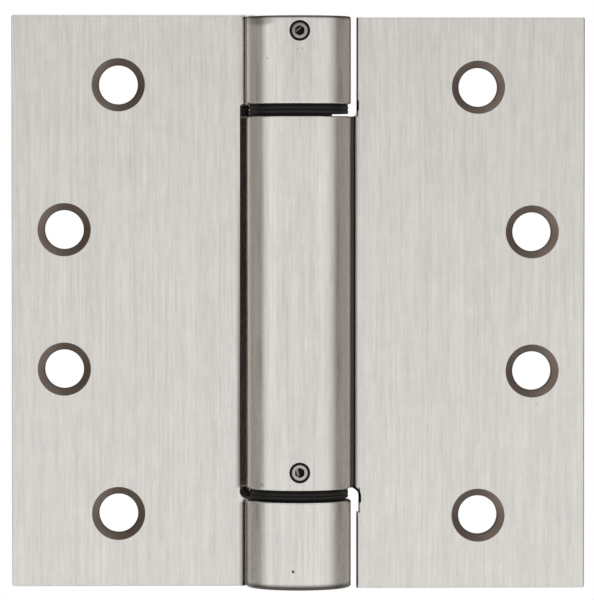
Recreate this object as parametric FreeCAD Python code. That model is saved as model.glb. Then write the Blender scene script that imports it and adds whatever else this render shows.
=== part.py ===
import FreeCAD, Part

import math
import os

from FreeCAD import Vector

# Spring loaded door hinge, single acting, full mortise, square corners.
# It lies flat open: the countersunk faces look along -Y, the pin axis is Z, and the
# origin is on the pin axis at half height. The frame leaf is at -X, the spring leaf at +X.

# Leaves
leaf_height = 114.0
open_width = 114.3
leaf_thickness = 3.4
closed_gap = 1.6
leaf_offset = 0.47
edge_round = 0.35
corner_round = 0.4

# Barrel, rolled from the leaf sheet
knuckle_radius = 10.4
knuckle_end_round = 0.4
top_end_drop = 0.4
top_knuckle_length = 17.82
bottom_knuckle_length = 17.39
top_gap = 2.42
bottom_gap = 2.27
back_bend_radius = 3.0
seam_depth = 1.3
seam_slot = 0.3
spring_seam_width = 0.85
spring_seam_round = 0.45
frame_seam_width = 0.42
frame_seam_round = 0.5

# Notches in the leaves beside the barrels of the other leaf
cope_reach = 1.27
cope_clearance = 0.26
frame_notch_top_round = 0.5
frame_notch_low_round = 1.6
spring_notch_clearance = 1.25
spring_notch_top_round = 0.9
spring_notch_low_round = 1.8
spring_relief_depth = 0.42
spring_relief_length = 5.0

# Countersunk screw holes, two pairs on each leaf
hole_radius = 3.88
countersink_radius = 5.32
countersink_angle = 82.0
close_pair_margin = 10.45
close_pair_pitch = 27.8
wide_pair_margin = 21.25
wide_pair_end_margin = 14.25
hole_pattern_rise = 0.3

# Fits
running_clearance = 0.06
head_clearance = 0.08
press_clearance = 0.02
axial_clearance = 0.05

# Tension hub in the top knuckle
hub_recess = 0.2
key_across_flats = 4.0
key_depth = 7.0
hub_chamfer = 0.3
tang_grip_length = 6.5
tang_grip_depth = 5.3

# Set screws that lock the hub and the anchor plug
screw_radius = 1.98
screw_hole_radius = 2.05
screw_chamfer = 0.35
screw_key_flats = 2.0
screw_key_depth = 1.8
screw_recess = 0.25
lock_groove_depth = 0.7
lock_groove_clearance = 0.1
tension_screw_drop = 3.42
anchor_screw_rise = 3.65

# Bearings, pivot and plugs
upper_sleeve_wall = 2.32
lower_sleeve_wall = 2.92
sleeve_neck_step = 0.5
flange_thickness = 0.4
flange_clearance = 0.04
flange_flat_x = 6.45
lower_flange_inset = 1.05
upper_sleeve_length = 8.0
lower_sleeve_length = 10.0
anchor_head_length = 6.5
pivot_seat_depth = 4.5
bottom_plug_length = 3.4
bottom_plug_recess = 0.8
end_chamfer = 0.5

# Thrust washers, two in each gap
washer_inset = 0.5
upper_washer_thickness = 0.78
lower_washer_thickness = 0.66
washer_gap = 0.03
washer_round = 0.3
washer_boss_inset = 0.25

# Torsion spring and its seats
wire_radius = 1.3
coil_to_bore = 0.5
coil_to_grip = 0.2
coil_pitch = 3.2
seat_thickness = 1.2
tang_wire_radius = 1.25

# Worked out from the sizes above
bore_radius = knuckle_radius - leaf_thickness
sleeve_radius = bore_radius - press_clearance
journal_radius = sleeve_radius - upper_sleeve_wall - running_clearance
pivot_radius = sleeve_radius - lower_sleeve_wall - running_clearance
sleeve_neck_radius = bore_radius - sleeve_neck_step
lock_groove_radius = bore_radius - lock_groove_depth
washer_radius = knuckle_radius - washer_inset
half_width = open_width / 2
close_pair_x = half_width - close_pair_margin
wide_pair_x = half_width - wide_pair_margin
wide_pair_pitch = leaf_height - 2 * wide_pair_end_margin
front_y = closed_gap / 2
back_y = front_y + leaf_thickness
frame_mid_z = leaf_offset / 2
spring_mid_z = -leaf_offset / 2
top_z = frame_mid_z + leaf_height / 2
low_z = frame_mid_z - leaf_height / 2
top_end_z = top_z - top_end_drop
top_knuckle_z = top_z - top_knuckle_length
bottom_knuckle_z = low_z + bottom_knuckle_length
barrel_top_z = top_knuckle_z - top_gap
barrel_low_z = bottom_knuckle_z + bottom_gap
tension_screw_z = top_z - tension_screw_drop
anchor_screw_z = barrel_low_z + anchor_screw_rise
hub_head_z = top_knuckle_z + axial_clearance
hub_top_z = top_end_z - hub_recess
sleeve_low_z = barrel_top_z - upper_sleeve_length
hub_shoulder_z = sleeve_low_z - axial_clearance
anchor_top_z = barrel_low_z + anchor_head_length
coil_radius = bore_radius - wire_radius - coil_to_bore
grip_radius = coil_radius - wire_radius - coil_to_grip
spring_top_z = hub_shoulder_z - seat_thickness - wire_radius - 2 * axial_clearance
spring_low_z = anchor_top_z + seat_thickness + wire_radius + 2 * axial_clearance
plug_top_z = low_z + bottom_plug_recess + bottom_plug_length
coil_turns = round((spring_top_z - spring_low_z) / coil_pitch)


def block(x0, x1, y0, y1, z0, z1):
    """Box between two corners."""
    return Part.makeBox(x1 - x0, y1 - y0, z1 - z0, Vector(x0, y0, z0))


def rod(radius, z0, z1, x=0.0, y=0.0):
    """Upright cylinder from z0 to z1."""
    return Part.makeCylinder(radius, z1 - z0, Vector(x, y, z0))


def turned(points):
    """Solid of revolution about Z from a closed outline of radius and height pairs."""
    outline = [Vector(r, 0, z) for r, z in points]
    outline.append(outline[0])
    face = Part.Face(Part.makePolygon(outline))
    return face.revolve(Vector(0, 0, 0), Vector(0, 0, 1), 360)


def ring(outer, inner, z0, z1, bevel=0.0):
    """Turned ring with bevelled outer edges."""
    outline = [(inner, z0), (outer - bevel, z0), (outer, z0 + bevel)]
    outline += [(outer, z1 - bevel), (outer - bevel, z1), (inner, z1)]
    return turned([p for n, p in enumerate(outline) if n == 0 or p != outline[n - 1]])


def hexagon_prism(across_flats, z0, z1):
    """Upright hexagonal prism on the Z axis."""
    reach = across_flats / math.sqrt(3)
    corners = [
        Vector(reach * math.cos(math.radians(60 * n)), reach * math.sin(math.radians(60 * n)), z0)
        for n in range(7)
    ]
    return Part.Face(Part.makePolygon(corners)).extrude(Vector(0, 0, z1 - z0))


def edges_where(shape, test):
    """Edges whose middle point passes a test."""
    found = []
    for edge in shape.Edges:
        middle = edge.valueAt((edge.FirstParameter + edge.LastParameter) / 2)
        if test(middle, edge):
            found.append(edge)
    return found


def near(a, b):
    """Whether two lengths are the same place."""
    return abs(a - b) < 1e-4


def corner_cutter(x, radius, z0, z1):
    """Sharp corner outside a rounding at the front edge of a sheet that starts at x."""
    centre = Vector(x + radius, front_y + radius, z0)
    middle = centre - Vector(radius, radius, 0) * math.sqrt(0.5)
    on_face = Vector(x + radius, front_y, z0)
    on_edge = Vector(x, front_y + radius, z0)
    arc = Part.Arc(on_face, middle, on_edge).toShape()
    corner = Vector(x - 0.01, front_y - 0.01, z0)
    lead_in = Part.makePolygon([on_edge, Vector(x - 0.01, front_y + radius, z0), corner])
    lead_out = Part.makePolygon([corner, Vector(x + radius, front_y - 0.01, z0), on_face])
    outline = Part.Wire([arc] + lead_in.Edges + lead_out.Edges)
    return Part.Face(outline).extrude(Vector(0, 0, z1 - z0))


def bare_plate(mid_z):
    """Right-hand leaf sheet with rounded outer corners and front edges."""
    root_x = bore_radius + leaf_thickness / 2
    z0 = mid_z - leaf_height / 2
    z1 = mid_z + leaf_height / 2
    plate = block(root_x, half_width, front_y, back_y, z0, z1)

    def outer_corner(p, edge):
        return near(p.x, half_width) and near(p.y, (front_y + back_y) / 2)

    plate = plate.makeFillet(corner_round, edges_where(plate, outer_corner))

    def front_rim(p, edge):
        return near(p.y, front_y) and p.x > root_x + 0.1

    return plate.makeFillet(edge_round, edges_where(plate, front_rim))


def countersunk_hole(x, z):
    """Cutter for a through hole with a conical seat at the front face."""
    half_angle = math.radians(countersink_angle / 2)
    depth = (countersink_radius - hole_radius) / math.tan(half_angle)
    through = Part.makeCylinder(
        hole_radius, leaf_thickness + 2, Vector(x, front_y - 1, z), Vector(0, 1, 0)
    )
    wide = countersink_radius + 0.5 * math.tan(half_angle)
    seat = Part.makeCone(wide, hole_radius, depth + 0.5, Vector(x, front_y - 0.5, z), Vector(0, 1, 0))
    return through.fuse(seat)


def screw_holes(mid_z):
    """Cutters for the two pairs of holes of a right-hand leaf."""
    places = []
    for x, pitch in ((close_pair_x, close_pair_pitch), (wide_pair_x, wide_pair_pitch)):
        places += [(x, mid_z + hole_pattern_rise + side * pitch / 2) for side in (-1, 1)]
    return [countersunk_hole(x, z) for x, z in places]


def bend_web(z0, z1):
    """Concave bend between the back of a right-hand leaf and its rolled barrel."""
    centre_y = back_y + back_bend_radius
    reach = knuckle_radius + back_bend_radius
    centre_x = math.sqrt(reach**2 - centre_y**2)
    share = knuckle_radius / reach
    on_leaf = Vector(centre_x, back_y, z0)
    on_barrel = Vector(centre_x * share, centre_y * share, z0)
    angle = (math.atan2(on_barrel.y - centre_y, on_barrel.x - centre_x) - math.pi / 2) / 2
    middle = Vector(centre_x + back_bend_radius * math.cos(angle), centre_y, z0)
    middle.y += back_bend_radius * math.sin(angle)
    arc = Part.Arc(on_leaf, middle, on_barrel).toShape()
    inner_y = (front_y + back_y) / 2
    inner_x = bore_radius + leaf_thickness / 2
    rest = Part.makePolygon(
        [on_barrel, Vector(inner_x, inner_y, z0), Vector(centre_x, inner_y, z0), on_leaf]
    )
    return Part.Face(Part.Wire([arc] + rest.Edges)).extrude(Vector(0, 0, z1 - z0))


def rolled_barrel(z0, z1):
    """Outside of a rolled barrel with its bend, before bore and seam are cut."""
    barrel = rod(knuckle_radius, z0, z1)
    rims = [edge for edge in barrel.Edges if len(edge.Vertexes) == 1]
    barrel = barrel.makeFillet(knuckle_end_round, rims)
    return barrel.fuse(bend_web(z0, z1))


def seam_cutter(width, round_radius, z0, z1):
    """Bore, groove and slot that leave a rolled barrel as an open curl of sheet."""
    floor_y = front_y + seam_depth
    groove = rod(knuckle_radius + width, z0, z1).cut(rod(knuckle_radius, z0, z1))
    groove = groove.common(block(0, knuckle_radius + width, 0, floor_y, z0, z1))
    slot = block(bore_radius - 1, knuckle_radius + 0.1, floor_y - seam_slot, floor_y, z0, z1)
    lip_x = math.sqrt((knuckle_radius + width) ** 2 - front_y**2)
    lip = corner_cutter(lip_x, round_radius, z0, z1)
    return rod(bore_radius, z0, z1).multiFuse([groove, slot, lip])


def frame_notch():
    """Cutter that copes a right-hand frame leaf round the middle barrel."""
    front_x = knuckle_radius + cope_reach
    back_x = math.sqrt((knuckle_radius + cope_clearance) ** 2 - back_y**2)
    centre_y = (front_x**2 - back_x**2 + front_y**2 - back_y**2) / (2 * (front_y - back_y))
    radius = math.hypot(front_x, front_y - centre_y)
    cope = rod(radius, bottom_knuckle_z, top_knuckle_z, y=centre_y)

    def low_rim(p, edge):
        return near(p.z, bottom_knuckle_z) and len(edge.Vertexes) == 1

    def top_rim(p, edge):
        return near(p.z, top_knuckle_z) and len(edge.Vertexes) == 1

    cope = cope.makeFillet(frame_notch_low_round, edges_where(cope, low_rim))
    return cope.makeFillet(frame_notch_top_round, edges_where(cope, top_rim))


def spring_notch(z0, z1, round_z, round_radius, relief=0.0):
    """Cutter beside a knuckle of the frame leaf, with one rounded inner corner."""
    edge_x = knuckle_radius + spring_notch_clearance + relief
    space = block(-1, edge_x, front_y - 1, knuckle_radius, z0, z1)

    def inner_corner(p, edge):
        return near(p.x, edge_x) and near(p.z, round_z)

    space = space.makeFillet(round_radius, edges_where(space, inner_corner))
    return space.fuse(corner_cutter(edge_x, edge_round, z0, z1))


def set_screw_hole(z):
    """Cutter for a tapped hole through the front wall of a barrel."""
    start = Vector(0, -lock_groove_radius, z)
    depth = knuckle_radius - lock_groove_radius + screw_hole_radius
    return Part.makeCylinder(screw_hole_radius, depth, start, Vector(0, -1, 0))


def mirrored(shape):
    """The same piece on the other side of the pin."""
    return shape.mirror(Vector(0, 0, 0), Vector(1, 0, 0))


def frame_leaf():
    """Leaf with the top and bottom knuckles, screwed to the door frame."""
    spans = ((top_knuckle_z, top_end_z), (low_z, bottom_knuckle_z))
    leaf = bare_plate(frame_mid_z).cut(frame_notch())
    for z0, z1 in spans:
        leaf = leaf.fuse(rolled_barrel(z0, z1))
    cutters = [seam_cutter(frame_seam_width, frame_seam_round, z0, z1) for z0, z1 in spans]
    leaf = leaf.cut(cutters + screw_holes(frame_mid_z))
    return mirrored(leaf).cut(set_screw_hole(tension_screw_z)).removeSplitter()


def spring_leaf():
    """Leaf with the long middle barrel that houses the spring, screwed to the door."""
    leaf = bare_plate(spring_mid_z)
    above = spring_notch(barrel_top_z, top_z + 1, barrel_top_z, spring_notch_top_round)
    below = spring_notch(low_z - 2, barrel_low_z, barrel_low_z, spring_notch_low_round)
    relief_z = barrel_low_z - spring_relief_length
    relief = spring_notch(
        relief_z, barrel_low_z, barrel_low_z, spring_notch_low_round, spring_relief_depth
    )
    leaf = leaf.cut([above, below, relief]).fuse(rolled_barrel(barrel_low_z, barrel_top_z))
    seam = seam_cutter(spring_seam_width, spring_seam_round, barrel_low_z, barrel_top_z)
    leaf = leaf.cut([seam, set_screw_hole(anchor_screw_z)] + screw_holes(spring_mid_z))
    return leaf.removeSplitter()


def lock_groove(radius, mid_z):
    """Outline points of a groove for a set screw, from low to high."""
    floor = screw_radius - screw_chamfer + lock_groove_clearance
    mouth = floor + radius - lock_groove_radius
    points = [(radius, mid_z - mouth), (lock_groove_radius, mid_z - floor)]
    return points + [(lock_groove_radius, mid_z + floor), (radius, mid_z + mouth)]


def tang_slot(z0, z1):
    """Cutter across a grip for the straight end of the spring."""
    half = tang_wire_radius + axial_clearance
    return block(-coil_radius, coil_radius, -half, half, z0, z1)


def tension_hub():
    """Adjuster: keyed head in the top knuckle, journal, and slotted grip in the spring."""
    head = bore_radius - head_clearance
    grip_z = hub_shoulder_z - tang_grip_length
    outline = [(0, grip_z), (grip_radius - end_chamfer, grip_z), (grip_radius, grip_z + end_chamfer)]
    outline += [(grip_radius, hub_shoulder_z), (journal_radius, hub_shoulder_z)]
    outline += [(journal_radius, hub_head_z), (head, hub_head_z)]
    outline += lock_groove(head, tension_screw_z)
    outline += [(head, hub_top_z - hub_chamfer), (head - hub_chamfer, hub_top_z), (0, hub_top_z)]
    hub = turned(outline)
    key = hexagon_prism(key_across_flats, hub_top_z - key_depth, hub_top_z + 1)
    slot = tang_slot(grip_z - 1, grip_z + tang_grip_depth)
    return hub.cut([key, slot])


def spring_anchor_plug():
    """Plug locked in the low end of the middle barrel, which holds the spring's low end."""
    head = sleeve_radius
    base_z = barrel_low_z + axial_clearance
    grip_z = anchor_top_z + tang_grip_length
    outline = [(0, base_z), (head, base_z)] + lock_groove(head, anchor_screw_z)
    outline += [(head, anchor_top_z), (grip_radius, anchor_top_z)]
    outline += [(grip_radius, grip_z - end_chamfer), (grip_radius - end_chamfer, grip_z), (0, grip_z)]
    seat = rod(pivot_radius + press_clearance, base_z - 1, base_z + pivot_seat_depth)
    return turned(outline).cut([seat, tang_slot(grip_z - tang_grip_depth, grip_z + 1)])


def lower_pivot_pin():
    """Pin from the anchor plug down into the bottom knuckle."""
    top = barrel_low_z + pivot_seat_depth
    return ring(pivot_radius, 0, plug_top_z + axial_clearance, top, end_chamfer)


def sleeve(z0, z1, neck_z0, neck_z1, bore):
    """Plain bearing with a neck that spans the gap between two barrels."""
    body = ring(sleeve_radius, bore, z0, z1)
    return body.fuse(ring(sleeve_neck_radius, bore, neck_z0, neck_z1)).removeSplitter()


def flange(radius, bore, z):
    """Flange of a sleeve bearing on the barrel end at a height."""
    low = z + flange_clearance
    return ring(radius, bore, low, low + flange_thickness)


def upper_sleeve_bearing():
    """Bearing in the top of the middle barrel, with a flange that has one flat side."""
    bore = journal_radius + running_clearance
    bearing = sleeve(sleeve_low_z, barrel_top_z, barrel_top_z, top_knuckle_z, bore)
    flat = block(flange_flat_x, knuckle_radius, -knuckle_radius, knuckle_radius, barrel_top_z, top_knuckle_z)
    return bearing.fuse(flange(washer_radius, bore, barrel_top_z).cut(flat)).removeSplitter()


def lower_sleeve_bearing():
    """Bearing in the bottom knuckle, round the pivot pin, with a flange under the washers."""
    bore = pivot_radius + running_clearance
    low = bottom_knuckle_z - lower_sleeve_length
    bearing = sleeve(low, bottom_knuckle_z, bottom_knuckle_z, barrel_low_z - axial_clearance, bore)
    collar = flange(knuckle_radius - lower_flange_inset, bore, bottom_knuckle_z)
    return bearing.fuse(collar).removeSplitter()


def thrust_washer(low, thickness):
    """Washer round a sleeve's neck, with a soft rim."""
    return ring(washer_radius, sleeve_neck_radius + running_clearance, low, low + thickness, washer_round)


def washer_stack(z, gap, thickness):
    """Two washers on the flange on the barrel end at a height, the upper one with a boss."""
    low = z + flange_clearance + flange_thickness + washer_gap
    middle = low + thickness + washer_gap
    bore = sleeve_neck_radius + running_clearance
    boss = ring(washer_radius - washer_boss_inset, bore, middle + thickness, z + gap - washer_gap)
    upper = thrust_washer(middle, thickness).fuse(boss).removeSplitter()
    return [thrust_washer(low, thickness), upper]


def bottom_plug():
    """Plug that closes the bottom knuckle under the pivot pin."""
    base = low_z + bottom_plug_recess
    return ring(sleeve_radius, 0, base, plug_top_z, end_chamfer)


def set_screw(z):
    """Socket set screw in the front wall of a barrel, tip in the lock groove."""
    length = knuckle_radius - screw_recess - lock_groove_radius - axial_clearance
    body = ring(screw_radius, 0, 0, length, screw_chamfer)
    body = body.cut(hexagon_prism(screw_key_flats, length - screw_key_depth, length + 1))
    body.rotate(Vector(0, 0, 0), Vector(1, 0, 0), 90)
    body.translate(Vector(0, -lock_groove_radius - axial_clearance, z))
    return body


def torsion_spring():
    """Coil spring with a straight tang across each end."""
    height = spring_top_z - spring_low_z
    helix = Part.makeHelix(height / coil_turns, height, coil_radius)
    helix.translate(Vector(0, 0, spring_low_z))
    start = Vector(coil_radius, 0, spring_low_z)
    section = Part.Wire(Part.makeCircle(wire_radius, start, Vector(0, 1, 0)))
    coil = Part.Wire(helix.Edges).makePipeShell([section], True, True)
    for z in (spring_low_z, spring_top_z):
        reach = coil_radius + grip_radius + wire_radius / 2
        tang = Part.makeCylinder(
            tang_wire_radius, reach, Vector(-grip_radius, 0, z), Vector(1, 0, 0)
        )
        coil = coil.fuse(tang)
    return coil


def spring_seat(z0):
    """Washer between the spring and what it bears on."""
    inner = grip_radius + running_clearance
    return ring(sleeve_radius - running_clearance, inner, z0, z0 + seat_thickness)


def pieces():
    """Every separate piece by name."""
    upper = washer_stack(barrel_top_z, top_gap, upper_washer_thickness)
    lower = washer_stack(bottom_knuckle_z, bottom_gap, lower_washer_thickness)
    return {
        "frame_leaf": frame_leaf(),
        "spring_leaf": spring_leaf(),
        "tension_hub": tension_hub(),
        "spring_anchor_plug": spring_anchor_plug(),
        "lower_pivot_pin": lower_pivot_pin(),
        "upper_sleeve_bearing": upper_sleeve_bearing(),
        "lower_sleeve_bearing": lower_sleeve_bearing(),
        "upper_bearing_washer": upper[0],
        "upper_thrust_washer": upper[1],
        "lower_thrust_washer": lower[0],
        "lower_bearing_washer": lower[1],
        "tension_lock_screw": set_screw(tension_screw_z),
        "anchor_lock_screw": set_screw(anchor_screw_z),
        "bottom_plug": bottom_plug(),
        "torsion_spring": torsion_spring(),
        "upper_spring_seat": spring_seat(hub_shoulder_z - axial_clearance - seat_thickness),
        "lower_spring_seat": spring_seat(anchor_top_z + axial_clearance),
    }


os.makedirs("parts", exist_ok=True)
for name, shape in pieces().items():
    shape.exportStep("parts/" + name + ".step")
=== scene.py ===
"""Looks of a spring loaded door hinge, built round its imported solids.

Masks read the solids' own coordinates in millimetres; meshes and the studio are in metres.
"""

import logging
import math
from dataclasses import dataclass
from enum import Enum
from functools import reduce
from typing import Callable, Iterable, Optional, Union

import bpy
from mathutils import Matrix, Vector


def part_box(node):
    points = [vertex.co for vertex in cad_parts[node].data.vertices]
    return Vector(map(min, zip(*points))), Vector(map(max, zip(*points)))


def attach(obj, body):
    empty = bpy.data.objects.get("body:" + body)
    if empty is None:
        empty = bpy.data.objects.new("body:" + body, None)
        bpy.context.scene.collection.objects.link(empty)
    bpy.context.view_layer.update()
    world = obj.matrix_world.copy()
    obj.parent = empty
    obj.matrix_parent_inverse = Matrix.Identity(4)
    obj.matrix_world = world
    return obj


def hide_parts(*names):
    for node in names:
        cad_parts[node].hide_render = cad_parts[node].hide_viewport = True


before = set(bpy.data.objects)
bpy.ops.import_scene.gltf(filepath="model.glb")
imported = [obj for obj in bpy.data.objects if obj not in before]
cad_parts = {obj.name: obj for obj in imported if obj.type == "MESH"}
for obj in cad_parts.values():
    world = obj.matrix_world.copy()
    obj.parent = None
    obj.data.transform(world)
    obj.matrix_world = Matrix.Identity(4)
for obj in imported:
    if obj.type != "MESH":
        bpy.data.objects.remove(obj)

MM = 0.001
WELD = 0.001 * MM
NEAR = 0.01 * MM
BUMP_DEPTH = 0.02 * MM
SMOOTH_ANGLE = math.radians(35)
QUARTER_TURN = math.radians(90)
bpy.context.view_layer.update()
LOG = logging.getLogger("hinge")
Rgb = tuple[float, float, float]
Pair = tuple[float, float]
Tree = bpy.types.NodeTree
Value = Union["Field", bpy.types.NodeSocket, Rgb, float]


class Body(Enum):
    """The rigid bodies that remodelled pieces ride on."""

    FRAME = "frame"
    DOOR_LEAF = "door_leaf"


# Small tools for node trees


def field_maths(operation: str, mirrored: bool = False) -> Callable[..., "Field"]:
    """Make a method of Field that adds one Math node.

    Args:
        operation: The Math node's operation.
        mirrored: Whether the other value comes before the field.

    Returns:
        The method.
    """

    def method(field: "Field", *others: Value) -> "Field":
        """Add the Math node.

        Args:
            field: The field itself.
            *others: What the operation takes besides it.

        Returns:
            The result.
        """
        values = (*others, field) if mirrored else (field, *others)
        inputs = {f"in_{place}": value for place, value in enumerate(values)}
        return Field(field.tree, add_node(field.tree, "Math", operation=operation, **inputs).outputs[0])

    return method


class Field:
    """Number that a node tree works out at each point of a surface."""

    __add__ = __radd__ = field_maths("ADD")
    __mul__ = __rmul__ = field_maths("MULTIPLY")
    __sub__ = field_maths("SUBTRACT")
    __rsub__ = field_maths("SUBTRACT", mirrored=True)
    __truediv__ = field_maths("DIVIDE")
    __lt__ = field_maths("LESS_THAN")
    __gt__ = field_maths("GREATER_THAN")
    __abs__ = field_maths("ABSOLUTE")
    sign = field_maths("SIGN")
    highest = field_maths("MAXIMUM")
    lowest = field_maths("MINIMUM")

    def __init__(self, tree: Tree, socket: bpy.types.NodeSocket) -> None:
        """Wrap a node's output.

        Args:
            tree: The node's tree.
            socket: The output.
        """
        self.tree = tree
        self.socket = socket


@dataclass(frozen=True)
class Ramp:
    """Smooth change from 0 at one place to a depth at another."""

    off: float
    on: float
    depth: float = 1.0

    def of(self, value: Field) -> Field:
        """Turn a value into the ramp's mask.

        Args:
            value: The value to turn.

        Returns:
            The mask.
        """
        rising = self.off < self.on
        ends = {"in_From_Min": min(self.off, self.on), "in_From_Max": max(self.off, self.on)}
        results = {"in_To_Min": 0.0 if rising else self.depth, "in_To_Max": self.depth if rising else 0.0}
        node = add_node(
            value.tree, "MapRange", interpolation_type="SMOOTHSTEP", in_Value=value, **ends, **results
        )
        return Field(value.tree, node.outputs[0])


@dataclass(frozen=True)
class Band:
    """Stretch with soft ends over which a mask has a depth."""

    low: float
    high: float
    soft: float
    depth: float = 1.0

    def of(self, value: Field) -> Field:
        """Turn a value into the band's mask.

        Args:
            value: The value to turn.

        Returns:
            The mask.
        """
        half = self.soft / 2
        rising = Ramp(self.low - half, self.low + half).of(value)
        return rising * Ramp(self.high + half, self.high - half, self.depth).of(value)


def fill(tree: Tree, node: bpy.types.Node, **values: object) -> bpy.types.Node:
    """Set a node's properties and inputs.

    Args:
        tree: The node's tree.
        node: The node.
        **values: Properties by name, or inputs where the name starts with in_.

    Returns:
        The same node.
    """
    for key, value in values.items():
        if not key.startswith("in_"):
            setattr(node, key, value)
            continue
        label = key[3:].replace("_", " ")
        socket = node.inputs[int(label) if label.isdigit() else label]
        if isinstance(value, Field):
            value = value.socket
        if isinstance(value, bpy.types.NodeSocket):
            tree.links.new(value, socket)
        else:
            socket.default_value = (*value, 1.0) if socket.type == "RGBA" else value
    return node


def add_node(tree: Tree, kind: str, **values: object) -> bpy.types.Node:
    """Add a node and set its properties and inputs.

    Args:
        tree: The tree that gets the node.
        kind: The node's type without the ShaderNode prefix.
        **values: Properties and inputs, as fill takes them.

    Returns:
        The new node.
    """
    return fill(tree, tree.nodes.new("ShaderNode" + kind), **values)


def blend(tree: Tree, share: Value, first: Value, second: Value, mode: str = "MIX") -> bpy.types.NodeSocket:
    """Add a colour Mix node.

    Args:
        tree: The tree that gets the node.
        share: How much of the second colour there is.
        first: The first colour.
        second: The second colour.
        mode: The node's blend type.

    Returns:
        The mixed colour.
    """
    node = add_node(tree, "Mix", data_type="RGBA", blend_type=mode, in_0=share, in_6=first, in_7=second)
    return node.outputs[2]


def split(tree: Tree, vector: bpy.types.NodeSocket) -> list[Field]:
    """Split a vector into its three numbers.

    Args:
        tree: The vector's tree.
        vector: The vector.

    Returns:
        Its parts along X, Y and Z.
    """
    return [Field(tree, part) for part in add_node(tree, "SeparateXYZ", in_Vector=vector).outputs]


def distance(across: Field, along: Field) -> Field:
    """Measure how far a point of a plane lies from its middle.

    Args:
        across: The point's first coordinate.
        along: Its second coordinate.

    Returns:
        The distance.
    """
    tree = across.tree
    point = add_node(tree, "CombineXYZ", in_X=across, in_Y=along).outputs[0]
    length = add_node(tree, "VectorMath", operation="LENGTH", in_0=point)
    return Field(tree, length.outputs["Value"])


def noise(
    tree: Tree, place: bpy.types.NodeSocket, scale: float, detail: float, roughness: float = 0.5
) -> Field:
    """Add a noise texture.

    Args:
        tree: The tree that gets it.
        place: Where it is read.
        scale: Its scale.
        detail: Its number of finer layers.
        roughness: How strong they are.

    Returns:
        The noise, from 0 to 1.
    """
    node = add_node(
        tree, "TexNoise", in_Vector=place, in_Scale=scale, in_Detail=detail, in_Roughness=roughness
    )
    return Field(tree, node.outputs[0])


def bump(tree: Tree, height: Field, strength: float) -> bpy.types.NodeSocket:
    """Add fine relief.

    Args:
        tree: The material's tree.
        height: The relief, from 0 to 1.
        strength: How strongly it shows.

    Returns:
        The normal with the relief.
    """
    return add_node(tree, "Bump", in_Strength=strength, in_Distance=BUMP_DEPTH, in_Height=height).outputs[0]


def material_tree(name: str) -> tuple[bpy.types.Material, Tree, bpy.types.Node]:
    """Make an empty node material.

    Args:
        name: The material's name.

    Returns:
        The material, its node tree and its Principled BSDF node.
    """
    material = bpy.data.materials.new(name)
    material.use_nodes = True
    tree = material.node_tree
    return material, tree, tree.nodes["Principled BSDF"]


class Coat:
    """Colour of a surface on which layers are laid, one after another."""

    def __init__(self, tree: Tree, colour: Value) -> None:
        """Start with a plain colour.

        Args:
            tree: The material's tree.
            colour: The colour.
        """
        self.tree = tree
        self.colour = colour

    def lay(self, colour: Value, share: Value) -> None:
        """Cover the coat with a colour.

        Args:
            colour: The colour.
            share: How much of it there is.
        """
        self.colour = blend(self.tree, share, self.colour, colour)

    def tint(self, colour: Value, share: Value = 1.0) -> None:
        """Multiply the coat by a colour.

        Args:
            colour: The colour.
            share: How much of the product there is.
        """
        self.colour = blend(self.tree, share, self.colour, colour, "MULTIPLY")


class EffectGroup:
    """Shader node group that turns a place on a surface into masks."""

    def __init__(self, name: str, outputs: Iterable[str], **inputs: Optional[float]) -> None:
        """Make the group with its sockets.

        Args:
            name: The group's name.
            outputs: The names of its masks.
            **inputs: Default of each input besides Position, with None for a vector.
        """
        self.tree = bpy.data.node_groups.new(name, "ShaderNodeTree")
        for label, value in {"Position": None, **inputs}.items():
            kind = "NodeSocketVector" if value is None else "NodeSocketFloat"
            socket = self.tree.interface.new_socket(label, in_out="INPUT", socket_type=kind)
            if value is not None:
                socket.default_value = value
        for label in outputs:
            self.tree.interface.new_socket(label, in_out="OUTPUT", socket_type="NodeSocketFloat")
        self._source = self.tree.nodes.new("NodeGroupInput")
        self._result = self.tree.nodes.new("NodeGroupOutput")

    def entry(self, label: str) -> Field:
        """Find one of the group's inputs.

        Args:
            label: The input's name.

        Returns:
            What comes in there.
        """
        return Field(self.tree, self._source.outputs[label])

    def place(self) -> list[Field]:
        """Split the position.

        Returns:
            The place along X, Y and Z, in millimetres.
        """
        return [part / MM for part in split(self.tree, self.entry("Position").socket)]

    def give(self, label: str, mask: Field) -> None:
        """Connect one of the group's outputs.

        Args:
            label: The output's name.
            mask: What goes out there.
        """
        self.tree.links.new(mask.socket, self._result.inputs[label])


def use_group(tree: Tree, group: Tree, **values: object) -> dict[str, Field]:
    """Place a node group in a material.

    Args:
        tree: The material's tree.
        group: The group to place.
        **values: Its inputs, as fill takes them.

    Returns:
        Its outputs by name.
    """
    node = add_node(tree, "Group", node_tree=group, **values)
    return {output.name: Field(tree, output) for output in node.outputs}


# Shared surface effects, with sizes in millimetres


@dataclass(frozen=True)
class Brushing:
    """Fine streaks along the pin: short ones, lines from end to end, and wide soft bands."""

    width: float = 0.50
    length: float = 6.5
    line: float = 40.0
    band: float = 1.7
    roughness: float = 0.6

    def build(self) -> Tree:
        """Make the group.

        Returns:
            The group, with the outputs Streaks, Lines and Bands.
        """
        outputs = ("Streaks", "Lines", "Bands")
        group = EffectGroup("brushed_streaks", outputs, Width=self.width, Length=self.length)
        width, length = group.entry("Width"), group.entry("Length")
        sizes = ((width, length, 2.0), (width, self.line, 1.0), (self.band, self.line, 2.0))
        x, y, z = group.place()
        for label, (across, along, detail) in zip(outputs, sizes):
            spot = add_node(group.tree, "CombineXYZ", in_X=x / across, in_Y=y / across, in_Z=z / along)
            group.give(label, noise(group.tree, spot.outputs[0], 1.0, detail, self.roughness))
        return group.tree


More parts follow.
